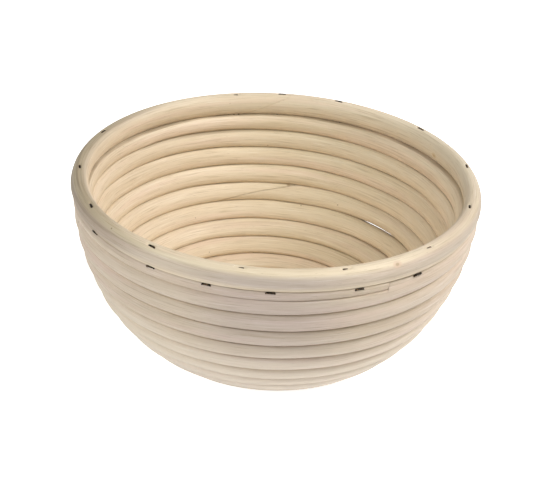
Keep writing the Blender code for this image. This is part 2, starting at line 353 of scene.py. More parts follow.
def tube(name, points, cane, seam):
    """Closed body through rings of points, keeping each point's place in the straight cane."""
    stations, around = points.shape[:2]
    index = np.arange(stations * around).reshape(stations, around)
    near, far = index[:-1], index[1:]
    quads = np.stack((near, np.roll(near, -1, axis=1), np.roll(far, -1, axis=1), far), axis=-1)
    quads = quads.reshape(-1, 4)
    loops = np.concatenate((quads.ravel(), index[0][::-1], index[-1]))
    sizes = np.concatenate((np.full(len(quads), 4), [around, around]))
    starts = np.concatenate(([0], np.cumsum(sizes)[:-1]))
    mesh = bpy.data.meshes.new(name)
    mesh.vertices.add(stations * around)
    mesh.vertices.foreach_set("co", points.reshape(-1).astype(np.float32))
    mesh.loops.add(len(loops))
    mesh.loops.foreach_set("vertex_index", loops.astype(np.int32))
    mesh.polygons.add(len(sizes))
    mesh.polygons.foreach_set("loop_start", starts.astype(np.int32))
    mesh.update(calc_edges=True)
    mesh.validate()
    place = mesh.attributes.new("cane", "FLOAT_VECTOR", "POINT")
    place.data.foreach_set("vector", cane.reshape(-1).astype(np.float32))
    near_seam = mesh.attributes.new("seam", "FLOAT", "POINT")
    near_seam.data.foreach_set("value", seam.reshape(-1).astype(np.float32))
    thing = bpy.data.objects.new(name, mesh)
    bpy.context.scene.collection.objects.link(thing)
    mesh.shade_smooth()
    mesh.set_sharp_from_angle(angle=SHARP)
    if signed_volume(points, quads) < 0.0:
        mesh.flip_normals()
    return thing


def signed_volume(points, quads):
    """Positive when the faces of the body look outward."""
    flat = points.reshape(-1, 3)
    a, b, c, d = (flat[quads[:, k]] for k in range(4))
    return float(np.sum(np.cross(a, b) * c) + np.sum(np.cross(a, c) * d))


def stations_between(first, last, length_of, marks, fine=()):
    """Stations from first to last, a station's length apart and closer beside the staples."""
    dense = np.linspace(first, last, 20001)
    along = length_of(dense)
    spacing = np.full_like(dense, STATION)
    for place in fine:
        away = np.abs(along - length_of(np.array([place])))
        wanted = FINE_STATION + (away - FINE_REACH) * STATION_GROWTH
        spacing = np.minimum(spacing, np.clip(wanted, FINE_STATION, STATION))
    count = np.concatenate(([0.0], np.cumsum(np.diff(along) / spacing[1:])))
    whole = np.arange(0.0, count[-1] + 1e-9, 1.0)
    places = np.interp(whole, count, dense)
    kept = np.array(sorted({first, last, *marks}))
    clear = np.abs(length_of(places)[:, None] - length_of(kept)[None, :]).min(axis=1)
    return np.unique(np.concatenate((places[clear > STATION_APART], kept)))


# ---------------------------------------------------------------- staples

RIM_LEG = 0.0122
SEAM_LEG = 0.0070
RIM_LEG_TILT = math.radians(7.0)
SEAM_LEG_TILT = math.radians(42.0)
WIRE_HALF_WIDE = 0.00052
WIRE_HALF_DEEP = 0.00044
WIRE_SQUARED = 0.75               # 1 is an oval wire, less is flatter on its sides
WIRE_BEND = 0.0007                # radius of the bends
BEND_POINTS = 6
CROWN_POINTS = 7

# Rim staples: heading in degrees, outward from the middle of the rim, sunk into the cane,
# skew and tilt in degrees, length over the legs
RIM_STAPLES = (
    (-112.2, 0.0004, 0.00055, 4, 3, 0.0046),
    (-86.8, 0.0003, 0.00045, -5, -4, 0.0042),
    (-62.3, 0.0010, 0.00040, 8, 5, 0.0046),
    (-34.0, 0.0012, 0.00045, 6, 4, 0.0049),
    (-8.3, 0.0004, 0.00080, 3, 9, 0.0047),
    (20.2, 0.0006, 0.00080, -4, -9, 0.0047),
    (47.0, 0.0009, 0.00080, 6, 3, 0.0048),
    (76.3, -0.0005, 0.00050, -10, -4, 0.0042),
    (102.8, 0.0008, 0.00040, 7, 3, 0.0044),
    (130.5, 0.0001, 0.00030, -3, 3, 0.0047),
    (161.6, 0.0001, 0.00030, 3, -2, 0.0048),
    (179.9, 0.0001, 0.00030, -4, 2, 0.0048),
    (195.0, -0.0006, 0.00065, 5, -3, 0.0036),
)
RUBBED = (-8.3, 20.2, 47.0)       # headings of the rim staples rubbed pale in use

# Seam staples: heading, outward and down from the centre of the rim cane, skew, tilt, length
SEAM_STAPLES = (
    (-56.9, 0.0036, 0.0033, 5, 6, 0.0036),
    (-33.6, 0.0031, 0.0043, -3, 4, 0.0048),
    (-16.9, 0.0031, 0.0047, 4, 5, 0.0050),
    (0.1, 0.0031, 0.0047, 1, 1, 0.0052),
    (23.8, 0.0031, 0.0048, -2, -2, 0.0052),
    (42.8, 0.0031, 0.0051, -5, -6, 0.0048),
)


def frame_at(degrees):
    """Directions along the rim, outward and up at a heading."""
    heading = math.radians(degrees)
    along = Vector((math.cos(heading), math.sin(heading), 0.0))
    out = Vector((math.sin(heading), -math.cos(heading), 0.0))
    return along, out, Vector((0.0, 0.0, 1.0))


def wire_section(points=12):
    """Outline of the slightly flattened wire."""
    ring = []
    for k in range(points):
        angle = TURN * (k + 0.5) / points
        wide, deep = math.cos(angle), math.sin(angle)
        ring.append((WIRE_HALF_WIDE * math.copysign(abs(wide) ** WIRE_SQUARED, wide),
                     WIRE_HALF_DEEP * math.copysign(abs(deep) ** WIRE_SQUARED, deep)))
    return ring


def staple_path(crown, leg):
    """Middle of the wire, as along and inward distances."""
    half = crown / 2 - 0.0005
    first_bend = []
    for k in range(BEND_POINTS):
        angle = math.pi / 2 * k / (BEND_POINTS - 1)
        first_bend.append((-half + WIRE_BEND * (1 - math.cos(angle)),
                           WIRE_BEND * (1 - math.sin(angle))))
    path = [(-half, leg), (-half, leg * 0.5), *first_bend]
    for k in range(1, CROWN_POINTS + 1):
        share = k / (CROWN_POINTS + 1)
        path.append(((-half + WIRE_BEND) + (2 * half - 2 * WIRE_BEND) * share, 0.0))
    path += [(-x, y) for x, y in reversed(first_bend)]
    return path + [(half, leg * 0.5), (half, leg)]


def wire_staple(name, crown_point, along, inward, leg, crown, look, node):
    """Bent wire staple that stands for one CAD staple."""
    aside = along.cross(inward).normalized()
    path = [crown_point + along * x + inward * y for x, y in staple_path(crown, leg)]
    rings, place = [], []
    run = 0.0
    for k, point in enumerate(path):
        before = point - path[k - 1] if k else path[1] - point
        after = path[k + 1] - point if k + 1 < len(path) else before
        direction = (before.normalized() + after.normalized()).normalized()
        across = direction.cross(aside).normalized()
        run += before.length if k else 0.0
        rings.append([list(point + aside * a + across * b) for a, b in wire_section()])
        place.append([[run, a, b] for a, b in wire_section()])
    rings, place = np.array(rings), np.array(place)
    thing = tube(name, rings, place, np.zeros(rings.shape[:2]))
    thing.data.materials.append(look)
    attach(thing, "root")
    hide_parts(node)
    return thing


def turned(along, out, up, skew, tilt):
    """Crown direction turned a little sideways and rocked a little endwise."""
    side = along * math.cos(math.radians(skew)) + out * math.sin(math.radians(skew))
    rocked = side * math.cos(math.radians(tilt)) + up * math.sin(math.radians(tilt))
    return rocked.normalized()


# ---------------------------------------------------------------- canes

def scarf_share(turns, scarf):
    """Share of the cane's height at which the slant of a scarf lies."""
    return FEATHER + (1 - 2 * FEATHER) * (turns - scarf[0]) / (scarf[1] - scarf[0])


def cut_faces(low, high, share_low, share_high):
    """Underside and top of a cane where scarfs cut it to these shares of its height."""
    tall = high - low
    bottom = low + tall * share_low + np.where(share_low > 0, SCARF_TOUCH / 2, 0)
    top = low + tall * share_high - np.where(share_high < 1, SCARF_TOUCH / 2, 0)
    return bottom, top


def round_half(turns, half, uneven):
    """Half height of the round cane that a planed one was cut from."""
    whole = half * (FULLNESS + uneven)
    whole = np.maximum(whole, LEAST_ROUND * np.clip(half / LEAST_ROUND_HALF, 0.3, 1.0))
    from_slit = np.minimum(np.abs(turns - SLIT_AT), np.abs(turns - SLIT_AT - 1.0))
    beside = 1.0 - between(from_slit, 0.75 * SLIT_HALF, 2.25 * SLIT_HALF)
    return whole * (1.0 - SLIT_ROUNDER * beside)


def straight_cane(run, out, up):
    """Place of each point in the cane before it was coiled."""
    return np.stack((np.broadcast_to(run[:, None], out.shape), out, up), axis=-1)


def from_seam(turns, up, bottom, top, hidden_low, hidden_high):
    """Distance of each point from a seam, as its stain and painted groove shade take it."""
    below = np.abs(up - bottom[:, None]) + CLEAR_OF_STAIN_AND_SHADE * hidden_low[:, None]
    above = np.abs(top[:, None] - up) + CLEAR_OF_STAIN_AND_SHADE * hidden_high[:, None]
    away = np.minimum(below, above)
    beside_tongue = np.where(turns < NOTCH, turns, turns - 1.0)
    faint = FAINT * (1.0 - between(beside_tongue, *FAINT_ENDS))[:, None]
    away = away + np.where((up < 0) == (turns < NOTCH)[:, None], faint, 0.0)
    from_dark = np.minimum(np.abs(turns - DARK_AT), np.abs(turns - DARK_AT - 1.0))
    darker = DARKER * (1.0 - between(from_dark, *DARK_ENDS))[:, None]
    side = np.where(turns < 1.0, -1.0, 1.0)[:, None]
    return np.maximum(away - np.where(up * side > 0, darker, 0.0), 0.0)


def coil_cane(name, begin, end, seed):
    """One length of the coil between two scarfs; a plain end is a scarf of no length."""
    marks = {begin[1], end[0]}
    if begin[0] < NOTCH < end[1]:
        marks |= {NOTCH - NOTCH_SLOPE, NOTCH}
    plain_start = begin[0] == begin[1]
    if plain_start:
        marks |= {begin[0] + END_TURNS}
    turns = stations_between(begin[0], end[1], cane_length, marks)
    run = cane_length(turns)
    upper, lower = edges_of_turn(turns)
    uncut = np.where(turns < NOTCH, 0.0, 1.0 - ease((turns - NOTCH) / NOTCH_FADE))
    shape_upper = upper + (under_rim(turns) - upper) * uncut
    centre = (shape_upper + lower) / 2
    half = (lower - shape_upper) / 2 - TOUCH / 2

    share_low = np.zeros_like(turns)
    share_high = np.ones_like(turns)
    if not plain_start:
        share_high = np.where(turns <= begin[1], scarf_share(turns, begin), share_high)
    if end[0] != end[1]:
        share_low = np.where(turns >= end[0], scarf_share(turns, end), share_low)
    bottom, top = cut_faces(-half, centre - upper - TOUCH / 2, share_low, share_high)
    hidden_low = np.where((share_low > 0) & (end == LEVELLING_SCARF), 1.0, 0.0)
    hidden_high = np.where((share_high < 1) & (begin == LEVELLING_SCARF), 1.0, 0.0)

    uneven = UNEVEN * (1.0 - between(turns, *CALM_FLOOR))
    stray = WANDER * (1.0 - between(turns, *CALM_FLOOR))
    full = np.clip(half / (PITCH / 2), 0.35, 1.0)
    thick = CANE_THICK / 2 * (THINNED + (1.0 - THINNED) * full) \
        * (1.0 + uneven * waves(seed + 1, run, longest=0.60, shortest=0.07))
    half_round = round_half(turns, half,
                            uneven * waves(seed + 2, run, longest=0.12, shortest=0.02))
    wander = stray * waves(seed + 3, run, longest=0.50, shortest=0.06)

    out, up = section(bottom, top, half_round, thick, thick, (OUTER_ROUNDNESS, ROUNDNESS),
                      kept=(hidden_low, hidden_high))
    if plain_start:
        past_end = (turns - begin[0]) / END_TURNS
        out = out * np.clip(END_SHARE + (1.0 - END_SHARE) * past_end, 0.0, 1.0)[:, None]
    points = on_wall(turns[:, None], centre[:, None] - up, out + wander[:, None])
    underside = (RIM_HEIGHT - rim_drop(-TURN * turns) - TOUCH)[:, None]
    top_turn = (turns < 1.0)[:, None]
    points[..., 2] = np.where(top_turn, np.minimum(points[..., 2], underside), points[..., 2])
    return tube(name, points, straight_cane(run, out, up),
                from_seam(turns, up, bottom, top, hidden_low, hidden_high))


def rim_length(turns):
    """Distance along the rim cane from the front."""
    return TURN * RIM_RADIUS * turns


def rim_cane(name, fine, dents):
    """Level ring whose two ends lie over one another in a long scarf."""
    start, stop = RIM_SCARF
    turns = stations_between(start, 1.0 + stop, rim_length, {stop, 1.0 + start}, fine)
    run, heading = rim_length(turns), TURN * turns
    share_low = np.where(turns <= stop, 1.0 - scarf_share(turns, RIM_SCARF), 0.0)
    share_high = np.where(turns >= 1.0 + start, 1.0 - scarf_share(turns - 1.0, RIM_SCARF), 1.0)
    high = np.full_like(turns, RIM_HALF_TALL * RIM_TOP_SHARE)
    bottom, top = cut_faces(-rim_drop(heading), high, share_low, share_high)
    around = turns % 1.0 * TURN
    thick_out = RIM_HALF_WIDE * (1.0 + 0.010 * waves(71, around, longest=3.1, shortest=0.5))
    thick_in = RIM_HALF_WIDE * (1.0 + 0.014 * waves(72, run, longest=0.40, shortest=0.05))
    half_round = np.full_like(turns, RIM_HALF_TALL)
    out, up = section(bottom, top, half_round, thick_out, thick_in, (2.0, 2.0), RIM_ARC)

    reach = facing(heading, FACET_AT, -0.45, 0.05)[:, None]
    facet = FACET_OUT + (up - FACET_TOP) * FACET_SLOPE + (1.0 - reach) * FACET_LIFT
    out = np.where(up < FACET_TOP + FACET_RUN_UP, np.minimum(out, facet), out)
    wander = RIM_WANDER * waves(73, run, longest=0.50, shortest=0.08)[:, None]
    points = on_circle(RIM_RADIUS + out + wander, RIM_HEIGHT + up, heading[:, None])
    for dent in dents:
        press(points, *dent)
    # the rim's seam stain and painted groove shade, held back on its inner side
    held_back = np.where(out < 0, RIM_INSIDE_HELD_BACK, 0.0)
    away = np.where(up < 0, np.abs(up - bottom[:, None]) + held_back, CLEAR_OF_STAIN_AND_SHADE)
    return tube(name, points, straight_cane(run, out, up), away)


TRENCH_DEEP = 0.00042             # the cane gives this much under a staple's wire
TRENCH_HALF = 0.00045
TRENCH_SIDE = 0.00045             # width over which the trench's side and end slope
TRENCH_END = 0.0007
DISH_DEEP = 0.00008               # and this much more around it
DISH_HALF = 0.0019
DISH_INSET = 0.0004               # the dish starts to rise this far inside the crown's ends
DISH_END = 0.0022
PRESS_REACH = 0.006
PRESS_BELOW = 0.0025


def press(points, crown, along, half_long):
    """Push the cane's surface down under a staple's crown."""
    reach = points - np.array(crown)
    x = np.abs(reach @ np.array(along))
    side = np.cross(np.array(along), np.array([0.0, 0.0, 1.0]))
    y = np.abs(reach @ side)
    near = np.linalg.norm(reach, axis=-1) < PRESS_REACH
    above = reach[..., 2] > -PRESS_BELOW
    past = x - half_long
    trench = (1 - ease(past / TRENCH_END)) * (1 - ease((y - TRENCH_HALF) / TRENCH_SIDE))
    dish = (1 - ease((past + DISH_INSET) / DISH_END)) * (1 - ease(y / DISH_HALF))
    depth = TRENCH_DEEP * trench + DISH_DEEP * dish
    points[..., 2] -= np.where(near & above, depth, 0.0)


# ---------------------------------------------------------------- looks

def node(tree, kind, place, **settings):
    made = tree.nodes.new(kind)
    made.location = place
    for key, value in settings.items():
        setattr(made, key, value)
    return made


def new_material(name):
    made = bpy.data.materials.new(name)
    made.use_nodes = True
    tree = made.node_tree
    return made, tree, tree.nodes["Principled BSDF"]


def stretched_noise(tree, source, scale, detail, rough, offset=(0.0, 0.0, 0.0)):
    """Noise in the straight cane, its grains as long and thick as 1 / scale."""
    mapping = node(tree, "ShaderNodeMapping", (-900, 0))
    mapping.inputs["Scale"].default_value = scale
    mapping.inputs["Location"].default_value = offset
    tree.links.new(source, mapping.inputs["Vector"])
    noise = node(tree, "ShaderNodeTexNoise", (-700, 0))
    noise.inputs["Scale"].default_value = 1.0
    noise.inputs["Detail"].default_value = detail
    noise.inputs["Roughness"].default_value = rough
    tree.links.new(mapping.outputs["Vector"], noise.inputs["Vector"])
    return noise.outputs["Fac"]


def remap(tree, value, low, high, to_low=0.0, to_high=1.0):
    """Clamped, eased range change."""
    change = node(tree, "ShaderNodeMapRange", (-500, 0), interpolation_type="SMOOTHSTEP")
    for key, number in (("From Min", low), ("From Max", high),
                        ("To Min", to_low), ("To Max", to_high)):
        change.inputs[key].default_value = number
    tree.links.new(value, change.inputs["Value"])
    return change.outputs["Result"]


def maths(tree, operation, first, second=0.0):
    made = node(tree, "ShaderNodeMath", (-400, 0), operation=operation)
    for socket, value in zip(made.inputs, (first, second)):
        if isinstance(value, (int, float)):
            socket.default_value = value
        else:
            tree.links.new(value, socket)
    return made.outputs[0]


def product(tree, first, second):
    return maths(tree, "MULTIPLY", first, second)


def mix(tree, factor, first, second, blend="MIX"):
    mixer = node(tree, "ShaderNodeMix", (-200, 0), data_type="RGBA", blend_type=blend)
    for socket, value in zip((mixer.inputs[0], mixer.inputs[6], mixer.inputs[7]),
                             (factor, first, second)):
        if isinstance(value, tuple):
            socket.default_value = (*value, 1.0)
        elif isinstance(value, (int, float)):
            socket.default_value = value
        else:
            tree.links.new(value, socket)
    return mixer.outputs[2]


def spot(tree, place, centre, size):
    """Soft round spot in the straight cane, one at its centre."""
    mapping = node(tree, "ShaderNodeMapping", (-900, -1200))
    mapping.inputs["Scale"].default_value = [1.0 / length for length in size]
    mapping.inputs["Location"].default_value = [-at / length for at, length in zip(centre, size)]
    tree.links.new(place, mapping.inputs["Vector"])
    reach = node(tree, "ShaderNodeVectorMath", (-700, -1200), operation="LENGTH")
    tree.links.new(mapping.outputs["Vector"], reach.inputs[0])
    return reach.outputs["Value"]


# Colours of the grain and of the marks on it
ROSY = (0.80, 0.63, 0.485)
STRAND_BROWN = (0.600, 0.478, 0.330)
FIBRE_BROWN = (0.520, 0.400, 0.255)
FIBRE_PALE = (0.92, 0.83, 0.70)
PORE_BROWN = (0.36, 0.25, 0.14)
KNOT_HEART = (0.42, 0.29, 0.17)
SPECK_BROWN = (0.23, 0.15, 0.08)
SPECKS_PER_METRE = 85.0
# brown of the seam stain, which also stands for painted shade in the grooves
SEAM_STAIN_AND_SHADE_BROWN = (0.200, 0.130, 0.060)
STAIN_AND_SHADE_REACH = 0.00055             # from a seam
# Painted shade on the outside and the rim, painted light from the table near the outside's foot,
# and brown streaks on the rim
# painted shade: greys and darkens the outside's upper part, less so towards its sides
OUTSIDE_PAINTED_SHADE = (0.690, 0.685, 0.800)
# painted light: the table's light paling the outside near its foot
FOOT_PAINTED_TABLE_LIGHT = (0.760, 0.690, 0.645)
# painted shade on the outer left of the rim
RIM_LEFT_PAINTED_SHADE = (0.58, 0.56, 0.515)
# painted shade on the rim's right
RIM_RIGHT_PAINTED_SHADE = (0.86, 0.87, 0.87)
STREAK_BROWN = (0.255, 0.195, 0.135)
LIGHT_TO_SHADE_HEIGHTS = (0.014, 0.067)     # the outside turns from painted table light to painted grey shade between these heights
RIM_HEIGHTS = (0.085, 0.092)      # the painted shade on the rim sets in between these heights


def straight_place(tree):
    """Place of a point in the straight cane, in metres."""
    return node(tree, "ShaderNodeAttribute", (-1200, 0), attribute_name="cane").outputs["Vector"]


def coordinates(tree, vector):
    """The three coordinates of a vector."""
    split = node(tree, "ShaderNodeSeparateXYZ", (-1000, -600))
    tree.links.new(vector, split.inputs[0])
    return split.outputs


def cane_grain(tree, place, tone, offset):
    """Colour of clean cane, with its fibres and broad patches for the roughness and bump."""
    fibre = stretched_noise(tree, place, (55, 2100, 2100), 3.0, 0.62, offset)
    strand = stretched_noise(tree, place, (14, 520, 520), 2.0, 0.55, offset)
    patch = stretched_noise(tree, place, (7, 90, 90), 2.0, 0.5, offset)
    hue = stretched_noise(tree, place, (9, 160, 160), 1.0, 0.5, (offset[0] + 7, 3, 1))
    pore = stretched_noise(tree, place, (260, 3800, 3800), 1.0, 0.5, offset)
    colour = mix(tree, remap(tree, patch, 0.30, 0.70), *tone)
    colour = mix(tree, remap(tree, hue, 0.50, 0.72, 0.0, 0.70), colour, ROSY)
    colour = mix(tree, remap(tree, strand, 0.52, 0.74, 0.0, 0.34), colour, STRAND_BROWN)
    colour = mix(tree, remap(tree, fibre, 0.50, 0.76, 0.0, 0.72), colour, FIBRE_BROWN)
    colour = mix(tree, remap(tree, fibre, 0.46, 0.25, 0.0, 0.55), colour, FIBRE_PALE)
    colour = mix(tree, remap(tree, pore, 0.70, 0.80, 0.0, 0.45), colour, PORE_BROWN)
    return colour, fibre, strand, patch


def paint_shade_light_and_streaks(tree, colour, place, offset, painted_shade_span):
    """Painted shade on the outside and the rim's sides, painted table light near the foot; also
    gives the share of outside away from the front.
    """
    outward = coordinates(tree, place)["Y"]
    across, _, height = coordinates(
        tree, node(tree, "ShaderNodeTexCoord", (-1200, -900)).outputs["Object"])
    # painted shade on the outside's upper part, weaker away from the front
    outside = remap(tree, outward, *painted_shade_span)
    high = remap(tree, height, *LIGHT_TO_SHADE_HEIGHTS)
    aside = remap(tree, maths(tree, "ABSOLUTE", across), 0.010, 0.048)
    outside_shade = maths(tree, "SUBTRACT", 1.0, product(tree, aside, 0.36))
    outside_shade = product(tree, product(tree, outside, high), outside_shade)
    colour = mix(tree, outside_shade, colour, OUTSIDE_PAINTED_SHADE, "MULTIPLY")
    # painted light from the table on the outside near its foot
    table_light = product(tree, outside, maths(tree, "SUBTRACT", 1.0, high))
    colour = mix(tree, product(tree, table_light, 0.60), colour, FOOT_PAINTED_TABLE_LIGHT)

    on_rim = remap(tree, height, *RIM_HEIGHTS)
    # painted shade: the rim's right darkened
    right = product(tree, on_rim, remap(tree, across, 0.046, 0.092))
    colour = mix(tree, right, colour, RIM_RIGHT_PAINTED_SHADE, "MULTIPLY")
    # painted shade: the outer left of the rim darkened and browned
    on_rim = product(tree, on_rim, remap(tree, outward, -0.0040, -0.0010))
    left = product(tree, on_rim, remap(tree, across, -0.050, -0.094))
    colour = mix(tree, left, colour, RIM_LEFT_PAINTED_SHADE, "MULTIPLY")
    streak = stretched_noise(tree, place, (9, 800, 800), 2.0, 0.6, offset)
    streak = product(tree, remap(tree, streak, 0.48, 0.66, 0.0, 0.5), left)
    colour = mix(tree, streak, colour, STREAK_BROWN)
    return colour, product(tree, outside, aside)


def marked(tree, colour, place, offset, stain_and_shade, outside_aside, knots):
    """Add the stain and painted groove shade along the seams, the knots and a few specks."""
    seam = node(tree, "ShaderNodeAttribute", (-1200, -300), attribute_name="seam").outputs["Fac"]
    blotch = stretched_noise(tree, place, (30, 30, 30), 2.0, 0.6, (offset[0] + 3, 7, 2))
    # seam stain, partly real and partly painted groove shade
    seam_stain_and_shade = product(tree, remap(tree, seam, STAIN_AND_SHADE_REACH, 0.0, 0.0, stain_and_shade),
                  remap(tree, blotch, 0.35, 0.65, 0.25, 1.0))
    # less stain and painted groove shade on the outside away from the front
    seam_stain_and_shade = product(tree, seam_stain_and_shade, maths(tree, "SUBTRACT", 1.0, product(tree, outside_aside, 0.6)))
    colour = mix(tree, seam_stain_and_shade, colour, SEAM_STAIN_AND_SHADE_BROWN)
    for centre, size, tint in knots:
        reach = spot(tree, place, centre, size)
        colour = mix(tree, remap(tree, reach, 1.0, 0.5, 0.0, 0.55), colour, tint)
        colour = mix(tree, remap(tree, reach, 0.45, 0.2, 0.0, 0.6), colour, KNOT_HEART)
    cells = node(tree, "ShaderNodeTexVoronoi", (-900, -1500))
    cells.inputs["Scale"].default_value = SPECKS_PER_METRE
    tree.links.new(place, cells.inputs["Vector"])
    speck = remap(tree, cells.outputs["Distance"], 0.045, 0.020, 0.0, 0.75)
    return mix(tree, speck, colour, SPECK_BROWN)


def add_bump(tree, shader, height, strength, distance):
    bump = node(tree, "ShaderNodeBump", (-200, -400))
    bump.inputs["Strength"].default_value = strength
    bump.inputs["Distance"].default_value = distance
    tree.links.new(height, bump.inputs["Height"])
    tree.links.new(bump.outputs["Normal"], shader.inputs["Normal"])


def cane_look(name, tone, offset, stain_and_shade, painted_shade_span, knots):
    """Peeled rattan core: pale straw with long fibres, pores, and seams with stain and painted
    groove shade.

    The outside has painted grey shade near the top and painted light from the table near the
    foot; the rim has painted shade on its right, and browner painted shade and streaks on its
    left.
    """
    made, tree, shader = new_material(name)
    place = straight_place(tree)
    colour, fibre, strand, patch = cane_grain(tree, place, tone, offset)
    colour, outside_aside = paint_shade_light_and_streaks(tree, colour, place, offset, painted_shade_span)
    colour = marked(tree, colour, place, offset, stain_and_shade, outside_aside, knots)
    tree.links.new(colour, shader.inputs["Base Color"])
    rough = maths(tree, "ADD", remap(tree, fibre, 0.3, 0.8, 0.0, 0.14),
                  remap(tree, patch, 0.3, 0.7, 0.50, 0.62))
    tree.links.new(rough, shader.inputs["Roughness"])
    shader.inputs["Specular IOR Level"].default_value = 0.38
    shader.inputs["Sheen Weight"].default_value = 0.06
    shader.inputs["Sheen Roughness"].default_value = 0.5
    add_bump(tree, shader, maths(tree, "ADD", fibre, product(tree, strand, 1.3)), 0.55, 0.00010)
    return made


def wire_look(name, dark, rust, shine):
    """Drawn steel wire, browned and dulled."""
    made, tree, shader = new_material(name)
    world = node(tree, "ShaderNodeTexCoord", (-1200, 200)).outputs["Object"]
    spots = stretched_noise(tree, world, (900, 900, 900), 3.0, 0.6)
    drawn = stretched_noise(tree, straight_place(tree), (300, 9000, 9000), 2.0, 0.5)
    colour = mix(tree, remap(tree, spots, 0.52, 0.64), dark, rust)
    tree.links.new(colour, shader.inputs["Base Color"])
    tree.links.new(remap(tree, spots, 0.4, 0.7, 0.38, 0.75), shader.inputs["Roughness"])
    tree.links.new(remap(tree, spots, 0.45, 0.65, shine, shine * 0.3), shader.inputs["Metallic"])
    add_bump(tree, shader, maths(tree, "ADD", spots, drawn), 0.4, 0.00004)
    return made


# ---------------------------------------------------------------- build the basket

STRAW = ((0.800, 0.672, 0.500), (0.725, 0.590, 0.415))
PALE_STRAW = ((0.820, 0.700, 0.535), (0.750, 0.620, 0.450))
WARM_STRAW = ((0.790, 0.655, 0.480), (0.705, 0.565, 0.390))

OUTSIDE = (0.0004, 0.0036)        # distance from the middle of the wall, for the painted shade on the outside
RIM_OUTSIDE = (0.0027, 0.0043)    # the same on the rim


def rim_crown(degrees, out_by, sunk, skew, tilt):
    """Middle and direction of a rim staple's crown, with the directions outward and up."""
    along, out, up = frame_at(degrees)
    rise = RIM_HALF_TALL * math.sqrt(1.0 - (out_by / RIM_HALF_WIDE) ** 2) * RIM_TOP_SHARE
    place = out * (RIM_RADIUS + out_by) + up * (RIM_HEIGHT + rise - sunk)
    return place, turned(along, out, up, skew, tilt), out, up


def seam_crown(degrees, out_by, down, skew, tilt):
    """The same for a staple in the seam under the rim."""
    along, out, up = frame_at(degrees)
    place = out * (RIM_RADIUS + out_by) + up * (RIM_HEIGHT - down)
    return place, turned(along, out, up, skew, tilt), out, up


def add_staples(kind, rows, crown_at, leg, leg_tilt, look_at):
    """Wire staples of one kind; each stands for the CAD staple of the same number."""
    for number, (degrees, *settings, crown) in enumerate(rows, start=1):
        place, line, out, up = crown_at(degrees, *settings)
        inward = -out * math.sin(leg_tilt) - up * math.cos(leg_tilt)
        inward = (inward - line * inward.dot(line)).normalized()
        wire_staple(f"{kind}_wire_{number:02d}", place, line, inward, leg, crown,
                    look_at(degrees), f"{kind}_staple_{number:02d}")


rim_dents = []
fine_rim = []
for degrees, out_by, sunk, skew, tilt, crown in RIM_STAPLES:
    place, line, _, up = rim_crown(degrees, out_by, sunk, skew, tilt)
    rim_dents.append((place + up * sunk, line, crown / 2))
    turns = degrees / 360.0
    fine_rim.append(turns if turns > RIM_SCARF[0] else 1.0 + turns)

rim = rim_cane("rim_cane_fine", fine_rim, rim_dents)
top_turn = coil_cane("levelling_cane_fine", (TONGUE_TIP, TONGUE_TIP), LEVELLING_SCARF, 100)
upper_wall = coil_cane("wall_cane_upper_fine", LEVELLING_SCARF, UPPER_SCARF, 200)
lower_wall = coil_cane("wall_cane_lower_fine", UPPER_SCARF, LOWER_SCARF, 300)
inner_end = (CENTRE - COIL_TIP - FIRST_EDGE) / PITCH + 1.0
floor_coil = coil_cane("floor_cane_fine", LOWER_SCARF, (inner_end, inner_end), 400)

# Knots: place in the straight cane, half size, colour
RIM_KNOTS = (
    ((rim_length(1.0 + 34.7 / 360.0), 0.0031, 0.0041), (0.0030, 0.0022, 0.0022),
     (0.70, 0.50, 0.36)),
    ((rim_length(1.0 + 119.6 / 360.0), -0.0041, -0.0012), (0.0026, 0.0018, 0.0018),
     (0.58, 0.42, 0.20)),
)
SCARF_KNOT = (
    ((float(cane_length(UPPER_SCARF[1] - 0.007)), -0.0034, 0.0046), (0.0014, 0.0020, 0.0009),
     (0.34, 0.23, 0.12)),
)

# Canes: mesh, CAD node, material slot, tone, shift of the grain, stain and painted groove shade,
# span of the outside's painted shade, knots
CANES = (
    (rim, "rim_cane", "rim_cane",
     PALE_STRAW, (3.0, 11.0, 5.0), 0.62, RIM_OUTSIDE, RIM_KNOTS),
    (top_turn, "levelling_cane", "top_turn_cane",
     STRAW, (41.0, 2.0, 9.0), 0.50, OUTSIDE, ()),
    (upper_wall, "wall_cane_upper", "upper_wall_cane",
     STRAW, (77.0, 6.0, 1.0), 0.50, OUTSIDE, SCARF_KNOT),
    (lower_wall, "wall_cane_lower", "lower_wall_cane",
     STRAW, (120.0, 4.0, 8.0), 0.42, OUTSIDE, SCARF_KNOT),
    (floor_coil, "floor_cane", "floor_cane",
     WARM_STRAW, (160.0, 9.0, 3.0), 0.42, OUTSIDE, ()),
)
for thing, cad_node, slot, *look in CANES:
    thing.data.materials.append(cane_look(slot + "_look", *look))
    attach(thing, "root")
    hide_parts(cad_node)

wire = wire_look("staple_wire_look", (0.030, 0.022, 0.016), (0.14, 0.075, 0.035), 0.85)
rubbed = wire_look("rubbed_wire_look", (0.10, 0.066, 0.040), (0.24, 0.16, 0.09), 0.1)
add_staples("rim", RIM_STAPLES, rim_crown, RIM_LEG, RIM_LEG_TILT,
            lambda degrees: rubbed if degrees in RUBBED else wire)
add_staples("seam", SEAM_STAPLES, seam_crown, SEAM_LEG, SEAM_LEG_TILT, lambda degrees: wire)


# ---------------------------------------------------------------- studio

FLOOR_RINGS = 14
FLOOR_AROUND = 96
FLOOR_FIRST = 0.05                # radius of the innermost ring
FLOOR_GROWTH = 1.35               # of each ring on the one inside it
FLOOR_DROP = 0.0002               # the floor lies this much under the basket


